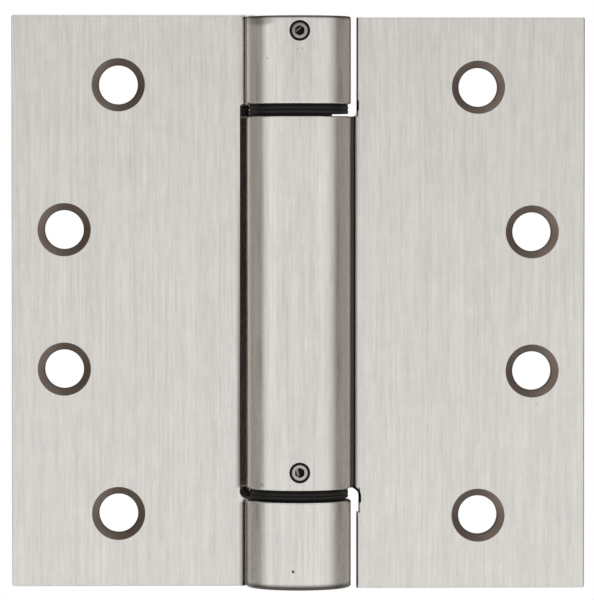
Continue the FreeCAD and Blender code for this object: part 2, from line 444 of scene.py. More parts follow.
@dataclass(frozen=True)
class ScrewSeats:
    """Countersunk holes, from the distance to the nearest hole's axis."""

    outer_rows: Pair = (35.9, 42.75)
    inner_rows: Pair = (46.7, 13.9)
    radius: float = 5.3
    seat: Ramp = Ramp(5.36, 5.28)
    brink: Ramp = Ramp(4.16, 3.92)
    below_face: Ramp = Ramp(0.80, 0.86)

    def build(self) -> Tree:
        """Make the group.

        Returns:
            The group, with the outputs Seat (inside a countersink), Brink (its inner edge, for painted
            shade) and Side (from -1 at a seat's left to 1 at its right, for the side painted lighter).
        """
        group = EffectGroup("screw_seats", ("Seat", "Brink", "Side"), Middle=0.0)
        x, y, z = group.place()
        up = abs(z - group.entry("Middle"))
        (outer, outer_far), (inner, inner_far) = (
            (abs(x) - reach, distance(abs(x) - reach, up - height))
            for reach, height in (self.outer_rows, self.inner_rows)
        )
        nearest = outer_far.lowest(inner_far)
        below = self.below_face.of(y)
        group.give("Seat", self.seat.of(nearest) * below)
        group.give("Brink", self.brink.of(nearest) * below)
        lean = (outer - inner) * (outer_far < inner_far) + inner
        group.give("Side", lean * x.sign() / self.radius)
        return group.tree


@dataclass(frozen=True)
class SheetRims:
    """Painted shade on the outline of the leaves, on the cut edges that face a barrel and in the creases
    beside it.
    """

    turned: Ramp = Ramp(0.985, 0.80)
    outside: Ramp = Ramp(10.8, 11.4)
    facing_right: Ramp = Ramp(0.05, 0.4, 0.7)
    facing_left: Ramp = Ramp(-0.05, -0.4)
    facing_down: Ramp = Ramp(-0.05, -0.4, 0.12)
    coped_edge: Band = Band(-39.5, 38.2, 0.2)
    relief: Band = Band(-42.3, -40.2, 0.2, 0.9)
    low_round: Band = Band(-38.1, -36.3, 0.2)
    high_round: Band = Band(36.3, 38.1, 0.2)
    round_side: float = 11.55
    past_barrel: Ramp = Ramp(10.42, 10.50)
    near_barrel: Ramp = Ramp(12.4, 12.2)
    below_face: Ramp = Ramp(1.0, 1.35)
    above_back: Ramp = Ramp(4.19, 4.10)

    def build(self) -> Tree:
        """Make the group.

        Returns:
            The group, with the outputs Rim and Crease, masks of painted shade.
        """
        group = EffectGroup("sheet_rims", ("Rim", "Crease"), Facing=None)
        x, y, z = group.place()
        right, back, up = split(group.tree, group.entry("Facing").socket)
        leftward = self.facing_left.of(right) * self._leftward_share(x, z)
        darkest = self.facing_right.of(right).highest(leftward).highest(self.facing_down.of(up))
        group.give("Rim", self.turned.of(abs(back)) * self.outside.of(abs(x)) * darkest)
        reach = distance(x, y)
        beside = self.past_barrel.of(reach) * self.near_barrel.of(reach)
        group.give("Crease", beside * self.below_face.of(y) * self.above_back.of(y))
        return group.tree

    def _leftward_share(self, x: Field, z: Field) -> Field:
        """How much painted shade the spring leaf's edge takes towards the barrel, at each height.

        Args:
            x: The place across the pin.
            z: The place along the pin.

        Returns:
            The share, from 0 to 1.
        """
        rounds = (self.low_round.of(z) + self.high_round.of(z)) * (x > self.round_side)
        share = 1.0 - self.coped_edge.of(z) - self.relief.of(z) - rounds
        return share.highest(0.0) * (x > 0.0)


@dataclass(frozen=True)
class BarrelForm:
    """Roll of the barrels, with painted shade on its outer ends and sides and a painted highlight at its
    outermost left.
    """

    roll: Ramp = Ramp(10.55, 10.45)
    top_end: Band = Band(56.37, 56.86, 0.45)
    low_end: Ramp = Ramp(-55.4, -56.3)
    lean: float = 0.5
    flank: Ramp = Ramp(5.3, 8.7)
    flank_end: Ramp = Ramp(-10.6, -9.3)
    front_half: Ramp = Ramp(1.0, -1.5)
    limb: Ramp = Ramp(-9.6, -10.2)
    limb_end: Ramp = Ramp(-39.3, -39.0)

    def build(self) -> Tree:
        """Make the group.

        Returns:
            The group, with the outputs Barrel (the whole roll), End (its outer ends, for painted shade),
            Flank (its sides, for painted shade) and Limb (its outermost left, for a painted highlight).
        """
        group = EffectGroup("barrel_form", ("Barrel", "End", "Flank", "Limb"))
        x, y, z = group.place()
        rolled = self.roll.of(distance(x, y))
        group.give("Barrel", rolled)
        group.give("End", rolled * self.top_end.of(z).highest(self.low_end.of(z)))
        sides = self.flank.of(abs(x + self.lean)) * self.flank_end.of(x)
        group.give("Flank", sides * self.front_half.of(y) * rolled)
        group.give("Limb", self.limb.of(x) * self.limb_end.of(z) * rolled)
        return group.tree


@dataclass(frozen=True)
class NotchEdges:
    """Painted shade along the edges of both leaves' notches near the washers."""

    low_middle: Pair = (10.27, -38.905)
    low_round: Ramp = Ramp(2.32, 2.2)
    low_stretch: Band = Band(-40.1, -36.6, 0.3)
    high_side: Ramp = Ramp(12.1, 12.0)
    high_stretch: Band = Band(38.2, 40.2, 0.2)
    relief_side: Ramp = Ramp(11.98, 11.78, 0.85)
    below_relief: Ramp = Ramp(-42.6, -43.0)
    spring_side: Ramp = Ramp(10.8, 11.0)
    below_face: Ramp = Ramp(0.85, 1.0)
    low_floor: Band = Band(-39.5, -38.55, 0.3)
    high_floor: Band = Band(38.9, 39.5, 0.3, 0.7)
    frame_side: Band = Band(-11.75, -7.5, 0.1)
    bend_middle: Pair = (-10.07, -37.7)
    bend_round: Band = Band(1.3, 1.7, 0.15)
    bend_stretch: Band = Band(-39.9, -37.4, 0.6)
    bend_side: Band = Band(-12.1, -9.6, 0.2)

    def build(self) -> Tree:
        """Make the group.

        Returns:
            The group, with the output Edge.
        """
        group = EffectGroup("notch_edges", ("Edge",))
        x, y, z = group.place()
        group.give("Edge", self._frame_notch(x, y, z).highest(self._spring_notch(x, z)))
        return group.tree

    def _spring_notch(self, x: Field, z: Field) -> Field:
        """Edge of the spring leaf's notches.

        Args:
            x: The place across the pin.
            z: The place along the pin.

        Returns:
            The mask.
        """
        out = (x - self.low_middle[0]).highest(0.0)
        up = (z - self.low_middle[1]).highest(0.0)
        low = self.low_round.of(distance(out, up)) * self.low_stretch.of(z)
        high = self.high_side.of(x) * self.high_stretch.of(z)
        below = self.relief_side.of(x) * self.below_relief.of(z)
        return low.highest(high).highest(below) * self.spring_side.of(x)

    def _frame_notch(self, x: Field, y: Field, z: Field) -> Field:
        """Floors and low bend of the frame leaf's notch.

        Args:
            x: The place across the pin.
            y: The depth below the front.
            z: The place along the pin.

        Returns:
            The mask.
        """
        floors = self.low_floor.of(z).highest(self.high_floor.of(z))
        floors = floors * self.below_face.of(y) * self.frame_side.of(x)
        out = (self.bend_middle[0] - x).highest(0.0)
        down = (self.bend_middle[1] - z).highest(0.0)
        bend = self.bend_round.of(distance(out, down)) * self.bend_stretch.of(z)
        return floors.highest(bend * self.bend_side.of(x))


@dataclass(frozen=True)
class Shoulders:
    """Painted shade: soft dark shoulders of the leaves' fronts beside the barrels."""

    frame_side: Ramp = Ramp(-12.65, -11.6, 0.75)
    frame_edge: Ramp = Ramp(-11.0, -11.1)
    deeper_down: Ramp = Ramp(38.0, -22.0)
    spring_side: Ramp = Ramp(12.2, 11.3, 0.45)
    spring_edge: Ramp = Ramp(10.9, 11.0)
    middle_barrel: Band = Band(-37.0, 37.6, 0.8)
    top_knuckle: Ramp = Ramp(39.6, 40.2)
    bottom_knuckle: Ramp = Ramp(-39.6, -40.2, 3.0)
    knuckle_side: Band = Band(-11.5, -10.2, 1.4, 0.23)
    front: Ramp = Ramp(1.35, 1.25)

    def build(self) -> Tree:
        """Make the group.

        Returns:
            The group, with the output Shoulder.
        """
        group = EffectGroup("shoulders", ("Shoulder",))
        x, y, z = group.place()
        frame_side = self.frame_side.of(x) * self.frame_edge.of(x) * self.deeper_down.of(z)
        spring_side = self.spring_side.of(x) * self.spring_edge.of(x)
        knuckles = (self.top_knuckle.of(z) + self.bottom_knuckle.of(z)) * self.knuckle_side.of(x)
        shoulder = (frame_side + spring_side) * self.middle_barrel.of(z) + knuckles
        group.give("Shoulder", shoulder * self.front.of(y))
        return group.tree


@dataclass(frozen=True)
class Handling:
    """Soft clouds and a finer mottle of sheet that has been handled, by scale per metre."""

    clouds: float = 70.0
    mottle: float = 420.0
    detail: float = 3.0
    roughness: float = 0.55

    def build(self) -> Tree:
        """Make the group.

        Returns:
            The group, with the outputs Clouds and Mottle.
        """
        group = EffectGroup("handling", ("Clouds", "Mottle"))
        spot = group.entry("Position").socket
        for label, scale in (("Clouds", self.clouds), ("Mottle", self.mottle)):
            group.give(label, noise(group.tree, spot, scale, self.detail, self.roughness))
        return group.tree


@dataclass(frozen=True)
class Nick:
    """Small dark nick or soft smudge in the sheet's front."""

    x: float
    z: float
    width: float
    height: float
    depth: float

    def of(self, x: Field, z: Field, edge: Pair) -> Field:
        """Mask of the nick.

        Args:
            x: The place across the pin.
            z: The place along the pin.
            edge: Where its edge begins and is full, as shares of its reach.

        Returns:
            How dark it is at that place.
        """
        far = distance((x - self.x) / (self.width / 2), (z - self.z) / (self.height / 2))
        return Ramp(*edge, self.depth).of(far)


@dataclass(frozen=True)
class Specks:
    """The few nicks and smudges of the sheet's front."""

    nicks: tuple[Nick, ...] = (
        Nick(0.5, 50.3, 0.35, 0.5, 0.45),
        Nick(-0.5, 50.2, 0.3, 0.4, 0.4),
        Nick(-6.4, 48.4, 0.5, 0.5, 0.35),
        Nick(-1.33, -53.0, 0.6, 0.7, 1.0),
        Nick(-7.8, 55.9, 6.0, 2.2, 0.45),
        Nick(-7.4, -36.0, 0.6, 0.6, 0.45),
        Nick(-10.95, 21.4, 0.5, 0.8, 0.7),
        Nick(47.6, -20.4, 0.9, 0.3, 0.2),
    )
    edge: Pair = (1.2, 0.5)
    front: Ramp = Ramp(1.0, 0.85)

    def build(self) -> Tree:
        """Make the group.

        Returns:
            The group, with the output Speck.
        """
        group = EffectGroup("front_specks", ("Speck",))
        x, y, z = group.place()
        speck = reduce(Field.highest, (nick.of(x, z, self.edge) for nick in self.nicks))
        group.give("Speck", speck * self.front.of(y))
        return group.tree


class SurfaceEffects:
    """Node groups that the finishes share."""

    def __init__(self) -> None:
        """Build each group once."""
        self.brushing = Brushing().build()
        self.screw_seats = ScrewSeats().build()
        self.rims = SheetRims().build()
        self.barrel = BarrelForm().build()
        self.notch_edges = NotchEdges().build()
        self.shoulders = Shoulders().build()
        self.handling = Handling().build()
        self.specks = Specks().build()


# Finishes


@dataclass(frozen=True)
class BrushedSheet:
    """Satin steel sheet of the leaves, brushed along the pin."""

    name: str
    middle: float
    # Countersink colours: a dark brown finish, partly painted shade, painted lighter on one side.
    seat: Rgb
    seat_light: Rgb
    light_side: float
    # Painted shade on the coped cut edge beside the middle barrel.
    cope: Rgb
    colour: Rgb = (0.682, 0.659, 0.627)
    cool: Rgb = (0.94, 0.965, 0.96)
    warm: Rgb = (1.06, 1.035, 1.04)
    # Painted shade at the countersinks' inner edges.
    brink: Rgb = (0.03, 0.025, 0.02)
    # Painted shade on the rounded edges of the leaves' outlines.
    rim: Rgb = (0.10, 0.088, 0.078)
    # Painted shade on the barrels' outer ends; the specks take this colour too.
    end: Rgb = (0.060, 0.052, 0.046)
    # Painted shade along the notch edges near the washers.
    notch_shade: Rgb = (0.009, 0.008, 0.007)
    # Painted shade on the barrels' sides.
    flank: Rgb = (0.57, 0.545, 0.53)
    # Painted highlight at the barrels' outermost left.
    limb: Rgb = (1.5, 1.5, 1.5)
    # Painted shade in the crease between a leaf and a barrel.
    crease: Rgb = (0.26, 0.215, 0.18)
    cope_reach: float = 39.38 * MM
    seat_slope: Ramp = Ramp(-0.2, 1.0)
    streak_depth: float = 0.32
    line_depth: float = 0.18
    band_depth: float = 0.06
    # Deeper bands on the barrels, partly random tone and partly a painted reflection of the softbox's soft
    # bands.
    barrel_band_depth: float = 0.28
    # How fully the painted shade covers the barrel ends and the creases.
    shade_share: float = 0.95
    roughness: float = 0.27
    relief: float = 0.12

    def build(self, effects: SurfaceEffects) -> bpy.types.Material:
        """Make the material.

        Args:
            effects: The shared node groups.

        Returns:
            The finished material.
        """
        material, tree, shader = material_tree(self.name)
        spot = add_node(tree, "TexCoord").outputs["Object"]
        grain = use_group(tree, effects.brushing, in_Position=spot)
        marks = use_group(tree, effects.handling, in_Position=spot)
        seats = use_group(tree, effects.screw_seats, in_Position=spot, in_Middle=self.middle)
        barrel = use_group(tree, effects.barrel, in_Position=spot)
        coat = Coat(tree, self.colour)
        coat.tint(self._tone(grain, barrel["Barrel"]))
        coat.tint(blend(tree, marks["Mottle"], self.cool, self.warm))
        # Painted shade on the barrels' sides, and a painted highlight at their outermost left.
        coat.tint(self.flank, barrel["Flank"])
        coat.tint(self.limb, barrel["Limb"])
        self._lay_edges(coat, spot, effects, barrel["End"])
        # Countersinks, partly painted shade and painted lighter on one side.
        coat.lay(self._seat_colour(tree, seats), seats["Seat"])
        streaks, clouds, seat = grain["Streaks"], marks["Clouds"], seats["Seat"]
        rough = (streaks - 0.5) * 0.10 + (clouds - 0.5) * 0.05 + seat * 0.25 + self.roughness
        fill(
            tree, shader, in_Base_Color=coat.colour, in_Roughness=rough, in_Metallic=1.0,
            in_Normal=bump(tree, streaks, self.relief),
        )
        return material

    def _tone(self, grain: dict[str, Field], barrel: Field) -> Field:
        """How light the brushing is, about 1.

        Args:
            grain: The brushing's masks.
            barrel: Where the sheet is rolled.

        Returns:
            The factor.
        """
        bands = barrel * self.barrel_band_depth + self.band_depth
        depths = {"Streaks": self.streak_depth, "Lines": self.line_depth, "Bands": bands}
        return sum(((grain[label] - 0.5) * depth for label, depth in depths.items()), 1.0)

    def _seat_colour(self, tree: Tree, seats: dict[str, Field]) -> bpy.types.NodeSocket:
        """Colour of the countersinks, partly painted shade, painted lighter towards one side.

        Args:
            tree: The material's tree.
            seats: The countersinks' masks.

        Returns:
            The colour.
        """
        side = self.seat_slope.of(seats["Side"] * self.light_side)
        seat = blend(tree, side, self.seat, self.seat_light)
        return blend(tree, seats["Brink"] * 0.5, seat, self.brink)

    def _lay_edges(
        self, coat: Coat, spot: bpy.types.NodeSocket, effects: SurfaceEffects, ends: Field
    ) -> None:
        """Lay painted shade on the shoulders, rims, barrel ends, creases and notch edges, and darken the
        specks.

        Args:
            coat: The sheet's coat.
            spot: The place on the sheet.
            effects: The shared node groups.
            ends: Where the barrel ends.
        """
        tree = coat.tree
        facing = add_node(
            tree, "VectorTransform", vector_type="NORMAL", convert_from="WORLD", convert_to="OBJECT",
            in_Vector=add_node(tree, "NewGeometry").outputs["True Normal"],
        )
        rims = use_group(tree, effects.rims, in_Position=spot, in_Facing=facing.outputs[0])
        height = split(tree, spot)[2]
        # Painted shade in the creases, in the cope's colour along the middle barrel.
        crease = blend(tree, abs(height) < self.cope_reach, self.crease, self.cope)
        # Painted shade on the shoulders beside the barrels.
        coat.tint(1.0 - use_group(tree, effects.shoulders, in_Position=spot)["Shoulder"])
        # Painted shade on the rounded edges.
        coat.lay(self.rim, rims["Rim"])
        # Painted shade on the barrels' outer ends.
        coat.lay(self.end, ends * self.shade_share)
        coat.lay(self.end, use_group(tree, effects.specks, in_Position=spot)["Speck"])
        # Painted shade in the creases.
        coat.lay(crease, rims["Crease"] * self.shade_share)
        # Painted shade along the notch edges.
        coat.lay(self.notch_shade, use_group(tree, effects.notch_edges, in_Position=spot)["Edge"])


@dataclass(frozen=True)
class TurnedMetal:
    """Turned or plated steel of the inner pieces, with grooves in millimetres."""

    name: str
    colour: Rgb
    roughness: float
    groove: Pair = (0.8, 0.12)
    shade: float = 0.7
    relief: float = 0.25

    def build(self, effects: SurfaceEffects) -> bpy.types.Material:
        """Make the material.

        Args:
            effects: The shared node groups.

        Returns:
            The finished material.
        """
        material, tree, shader = material_tree(self.name)
        spot = add_node(tree, "TexCoord").outputs["Object"]
        width, length = self.groove
        grain = use_group(tree, effects.brushing, in_Position=spot, in_Width=width, in_Length=length)
        clouds = use_group(tree, effects.handling, in_Position=spot)["Clouds"]
        dark = tuple(self.shade * part for part in self.colour)
        fill(
            tree, shader, in_Base_Color=blend(tree, grain["Streaks"], dark, self.colour),
            in_Roughness=(clouds - 0.5) * 0.2 + self.roughness, in_Metallic=1.0,
            in_Normal=bump(tree, grain["Streaks"], self.relief),
        )
        return material


@dataclass(frozen=True)
class Glint:
    """Painted reflection: a light streak across the floor of a screw's socket, in millimetres."""

    x: float
    rise: float
    degrees: float
    length: float
    width: float
    light: float
    soft_ends: float = 0.25
    soft_sides: float = 0.12

    def of(self, x: Field, rise: Field) -> Field:
        """Mask of the glint.

        Args:
            x: The place across the screw.
            rise: The height above the screw's axis.

        Returns:
            How bright it is at that place.
        """
        angle = math.radians(self.degrees)
        aside = x - self.x
        above = rise - self.rise
        along = aside * math.cos(angle) + above * math.sin(angle)
        across = above * math.cos(angle) - aside * math.sin(angle)
        ends = Band(-self.length / 2, self.length / 2, self.soft_ends, self.light)
        return ends.of(along) * Band(-self.width / 2, self.width / 2, self.soft_sides).of(across)


@dataclass(frozen=True)
class SocketScrewSteel:
    """Screw, black as painted shade in its chamfer and socket, round a grey end face painted lighter to one
    side, in millimetres.
    """

    name: str
    height: float
    bright: Rgb
    glint: Glint
    # How much lighter the face is painted towards the lower right.
    lean: float
    # Painted shade in the chamfer and socket.
    black: Rgb = (0.016, 0.014, 0.012)
    face_radius: float = 1.5
    face_edge: Ramp = Ramp(1.62, 1.38)
    socket_edge: Ramp = Ramp(0.85, 1.05)
    front: Ramp = Ramp(-9.6, -9.9)
    roughness: float = 0.42
    metal: float = 0.9

    def build(self, effects: SurfaceEffects) -> bpy.types.Material:
        """Make the material.

        Args:
            effects: The shared node groups.

        Returns:
            The finished material.
        """
        material, tree, shader = material_tree(self.name)
        spot = add_node(tree, "TexCoord").outputs["Object"]
        clouds = use_group(tree, effects.handling, in_Position=spot)["Clouds"]
        x, y, z = (part / MM for part in split(tree, spot))
        rise = z - self.height
        reach = distance(x, rise)
        face = self.socket_edge.of(reach)
        # Painted light: the face is lighter towards the lower right.
        slope = (x - rise) * (self.lean / (2 * self.face_radius)) + 1.0
        face_and_glint = self.face_edge.of(reach) * face * self.front.of(y) * (clouds + 0.45) * slope
        # Painted reflection across the socket's floor.
        face_and_glint = face_and_glint.highest(self.glint.of(x, rise) * (1.0 - face))
        fill(
            tree, shader, in_Base_Color=blend(tree, face_and_glint, self.black, self.bright),
            in_Roughness=(clouds - 0.5) * 0.2 + self.roughness, in_Metallic=self.metal,
        )
        return material


@dataclass(frozen=True)
class MouldedNylon:
    """Black moulded nylon of the washers and bearings, with painted shade towards the sides."""

    name: str
    colour: Rgb
    roughness: float
    gloss: float
    pale_share: float = 1.8
    # Painted shade towards the sides.
    sides: Ramp = Ramp(5.5, 8.5, 0.75)
    pore_scale: float = 4000.0
    relief: float = 0.15

    def build(self, effects: SurfaceEffects) -> bpy.types.Material:
        """Make the material.

        Args:
            effects: The shared node groups.

        Returns:
            The finished material.
        """
        material, tree, shader = material_tree(self.name)
        spot = add_node(tree, "TexCoord").outputs["Object"]
        clouds = use_group(tree, effects.handling, in_Position=spot)["Clouds"]
        coat = Coat(tree, self.colour)
        coat.lay(tuple(self.pale_share * part for part in self.colour), clouds)
        # Painted shade towards the sides.
        coat.tint(1.0 - self.sides.of(abs(split(tree, spot)[0] / MM)))
        fill(
            tree, shader, in_Base_Color=coat.colour, in_Specular_IOR_Level=self.gloss,
            in_Roughness=(clouds - 0.5) * 0.2 + self.roughness,
            in_Normal=bump(tree, noise(tree, spot, self.pore_scale, 2.0), self.relief),
        )
        return material


# Meshes


def start_clean() -> None:
    """Leave edit mode and deselect everything."""
    if bpy.context.object and bpy.context.object.mode != "OBJECT":
        bpy.ops.object.mode_set(mode="OBJECT")
    bpy.ops.object.select_all(action="DESELECT")


def choose_edges(piece: bpy.types.Object, test: Callable[[Vector, Vector], bool]) -> None:
    """Select the edges of the piece in edit mode whose ends pass a test.

    Args:
        piece: The piece in edit mode.
        test: Takes an edge's two ends and says whether it is selected.
    """
    bpy.ops.mesh.select_mode(type="EDGE")
    bpy.ops.mesh.select_all(action="DESELECT")
    bpy.ops.object.mode_set(mode="OBJECT")
    vertices = piece.data.vertices
    for edge in piece.data.edges:
        edge.select = test(*(vertices[number].co for number in edge.vertices))
    bpy.ops.object.mode_set(mode="EDIT")


def finish_piece(piece: bpy.types.Object, name: str, material: bpy.types.Material) -> bpy.types.Object:
    """Apply a piece's place, give it its finish and shade it smoothly.

    Args:
        piece: The piece, active and selected.
        name: The piece's name.
        material: Its finish.

    Returns:
        The same piece.
    """
    bpy.ops.object.mode_set(mode="EDIT")
    bpy.ops.mesh.select_all(action="SELECT")
    bpy.ops.mesh.remove_doubles(threshold=WELD)
    bpy.ops.mesh.normals_make_consistent(inside=False)
    bpy.ops.object.mode_set(mode="OBJECT")
    bpy.ops.object.transform_apply(location=True, rotation=True, scale=True)
    bpy.ops.object.shade_smooth_by_angle(angle=SMOOTH_ANGLE)
    piece.name = piece.data.name = name
    piece.data.materials.clear()
    piece.data.materials.append(material)
    return piece


def node_middle(node: str) -> tuple[Vector, Vector]:
    """Find the middle and size of a CAD node.

    Args:
        node: The node's name.

    Returns:
        The middle of its box and its size along each axis.
    """
    low, high = (Vector(corner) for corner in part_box(node))
    return (low + high) / 2, high - low


def stand_for(piece: bpy.types.Object, node: str, body: Body) -> None:
    """Let a piece take a CAD node's place.

    Args:
        piece: The finished piece.
        node: The node that it stands for.
        body: The body that it rides on.
    """
    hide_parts(node)
    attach(piece, body.value)


def dress_node(node: str, material: bpy.types.Material) -> None:
    """Put a finish on a CAD node.

    Args:
        node: The node's name.
        material: The finish.
    """
    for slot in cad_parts[node].material_slots:
        slot.material = material
    LOG.info("dressed %s", node)


# Sub-assemblies


@dataclass(frozen=True)
class Leaves:
    """Both leaves with their rolled barrels, with the middles of their holes in millimetres."""

    frame_middle: float = 0.535
    spring_middle: float = 0.065

    def build(self, effects: SurfaceEffects) -> None:
        """Give both leaves the brushed finish.

        Args:
            effects: The shared node groups.
        """
        finishes = {
            "frame_leaf": BrushedSheet(
                "frame_leaf_steel", self.frame_middle, seat=(0.150, 0.118, 0.094),
                seat_light=(0.32, 0.27, 0.235), light_side=-1.0, cope=(0.50, 0.44, 0.40),
            ),
            "spring_leaf": BrushedSheet(
                "spring_leaf_steel", self.spring_middle, seat=(0.181, 0.146, 0.125),
                seat_light=(0.35, 0.28, 0.235), light_side=1.0, cope=(0.030, 0.023, 0.017),
            ),
        }
        for node, finish in finishes.items():
            dress_node(node, finish.build(effects))


@dataclass(frozen=True)
class WasherPair:
    """Two black washers round the neck of a bearing, the upper one with a boss."""

    lower: str
    upper: str
    lower_body: Body
    upper_body: Body
    sides: int = 160
    rim_share: float = 0.44
    rim_steps: int = 5
    bore: float = 6.56 * MM
    core_inset: float = 0.10 * MM

    def build(self, nylon: bpy.types.Material, dull: bpy.types.Material) -> None:
        """Make both washers in their nodes' places.

        Args:
            nylon: The finish of their rims.
            dull: The darker black of their cores and of the boss, standing for painted shade there.
        """
        thickness = node_middle(self.lower)[1].z
        for node, body in ((self.lower, self.lower_body), (self.upper, self.upper_body)):
            middle, size = node_middle(node)
            low = middle - Vector((0, 0, size.z / 2))
            radius = size.x / 2
            washer = self._ring(low, radius, thickness, nylon)
            core = self._ring(low, radius - self.core_inset, size.z, dull, rounded=False)
            start_clean()
            core.select_set(True)
            washer.select_set(True)
            bpy.context.view_layer.objects.active = washer
            bpy.ops.object.join()
            washer.name = washer.data.name = node + "_turned"
            stand_for(washer, node, body)
            LOG.info("turned %s", washer.name)

    def _ring(
        self, low: Vector, radius: float, height: float, material: bpy.types.Material, rounded: bool = True
    ) -> bpy.types.Object:
        """Turn one flat ring.

        Args:
            low: The middle of its lower face.
            radius: Its outer radius.
            height: Its height.
            material: Its finish.
            rounded: Whether its outer rim is round.

        Returns:
            The ring.
        """
        start_clean()
        bpy.ops.mesh.primitive_circle_add(
            vertices=self.sides, radius=self.bore, fill_type="NOTHING", location=low
        )
        ring = bpy.context.object
        bpy.ops.object.mode_set(mode="EDIT")
        bpy.ops.mesh.select_all(action="SELECT")
        bpy.ops.mesh.extrude_edges_move(TRANSFORM_OT_translate={"value": (0, 0, 0)})
        share = radius / self.bore
        bpy.ops.transform.resize(value=(share, share, 1.0), center_override=low)
        bpy.ops.mesh.select_all(action="SELECT")
        bpy.ops.mesh.extrude_region_move(TRANSFORM_OT_translate={"value": (0, 0, height)})
        bpy.ops.mesh.select_all(action="SELECT")
        bpy.ops.mesh.remove_doubles(threshold=WELD)
        if rounded:
            choose_edges(
                ring, lambda one, other: abs(one.z - other.z) < NEAR
                and min(one.xy.length, other.xy.length) > radius - NEAR
            )
            bpy.ops.mesh.bevel(offset=height * self.rim_share, segments=self.rim_steps, affect="EDGES")
        return finish_piece(ring, "ring", material)


@dataclass(frozen=True)
class SetScrew:
    """Socket set screw in the front of a barrel."""

    node: str
    body: Body
    sides: int = 48
    chamfer: float = 0.32 * MM
    chamfer_steps: int = 3
    key_flats: float = 1.8 * MM
    key_depth: float = 1.8 * MM
    overlap: float = 1.0 * MM

    def build(self, material: bpy.types.Material) -> None:
        """Cut the set screw with its hex socket in its node's place.

        Args:
            material: Its finish.
        """
        middle, size = node_middle(self.node)
        screw = self._rod(self.sides, size.x / 2, size.y, middle)
        bpy.ops.object.mode_set(mode="EDIT")
        choose_edges(screw, lambda one, other: abs(one.z - other.z) < NEAR)
        bpy.ops.mesh.bevel(offset=self.chamfer, segments=self.chamfer_steps, affect="EDGES")
        bpy.ops.object.mode_set(mode="OBJECT")
        self._cut_socket(screw, middle - Vector((0, size.y / 2, 0)))
        finish_piece(screw, self.node + "_cut", material)
        stand_for(screw, self.node, self.body)
        LOG.info("cut %s", screw.name)

    def _rod(self, sides: int, radius: float, length: float, middle: Vector) -> bpy.types.Object:
        """Make a rod that lies along Y.

        Args:
            sides: How many sides it has.
            radius: Its radius over the corners.
            length: Its length.
            middle: Its middle.

        Returns:
            The rod.
        """
        start_clean()
        bpy.ops.mesh.primitive_cylinder_add(
            vertices=sides, radius=radius, depth=length, location=middle, rotation=(QUARTER_TURN, 0.0, 0.0)
        )
        return bpy.context.object

    def _cut_socket(self, screw: bpy.types.Object, face: Vector) -> None:
        """Cut the hex socket into the front end.

        Args:
            screw: The screw's body.
            face: The middle of its front end.
        """
        depth = self.key_depth + self.overlap
        mouth = face + Vector((0, self.key_depth - depth / 2, 0))
        cutter = self._rod(6, self.key_flats / math.sqrt(3), depth, mouth)
        start_clean()
        screw.select_set(True)
        bpy.context.view_layer.objects.active = screw
        cut = screw.modifiers.new("socket", "BOOLEAN")
        cut.operation = "DIFFERENCE"
        cut.object = cutter
        bpy.ops.object.modifier_apply(modifier=cut.name)
        bpy.data.objects.remove(cutter)


# Studio


@dataclass(frozen=True)
class Viewpoint:
    """The photograph's camera."""

    distance: float = 0.95
    yaw_degrees: float = 1.3
    elevation_degrees: float = 1.65
    pixels_per_metre: float = 5012.0
    sensor: float = 36.0
    frame_height: float = 600.0
    aim: tuple[float, float, float] = (-0.0003, 0.0008, 0.00039)
    clip: Pair = (0.01, 20.0)

    def build(self) -> None:
        """Place the camera."""
        data = bpy.data.cameras.new("camera")
        camera = bpy.data.objects.new("camera", data)
        bpy.context.scene.collection.objects.link(camera)
        yaw = math.radians(self.yaw_degrees)
        rise = math.radians(self.elevation_degrees)
        away = Vector((-math.sin(yaw) * math.cos(rise), -math.cos(yaw) * math.cos(rise), math.sin(rise)))
        camera.location = Vector(self.aim) + away * self.distance
        camera.rotation_mode = "QUATERNION"
        camera.rotation_quaternion = (-away).to_track_quat("-Z", "Y")
        data.sensor_width = self.sensor
        data.lens = self.sensor * self.pixels_per_metre * self.distance / self.frame_height
        data.clip_start, data.clip_end = self.clip
        bpy.context.scene.camera = camera


@dataclass(frozen=True)
class Card:
    """Glowing grey card that only reflections show, with one soft edge."""

    name: str
    middle: tuple[float, float, float]
    across: float
    along: float
    turn: tuple[float, float, float]
    colour: Rgb
    fade: float = MM

    def build(self) -> None:
        """Make the card."""
        start_clean()
        bpy.ops.mesh.primitive_plane_add(size=1.0, location=self.middle, rotation=self.turn)
        card = bpy.context.object
        card.scale = (self.across, self.along, 1)
        bpy.ops.object.transform_apply(location=False, rotation=False, scale=True)
        card.name = self.name
        material, tree, _ = material_tree(self.name)
        along = split(tree, add_node(tree, "TexCoord").outputs["Object"])[1]
        edge = Ramp(-self.along / 2, -self.along / 2 + self.fade).of(along)
        glow = add_node(
            tree, "Emission", in_Strength=1.0, in_Color=blend(tree, edge, (1.0, 1.0, 1.0), self.colour)
        )
        tree.links.new(glow.outputs[0], tree.nodes["Material Output"].inputs["Surface"])
        card.data.materials.append(material)
        card.visible_camera = False
        card.visible_diffuse = False
        card.visible_shadow = False


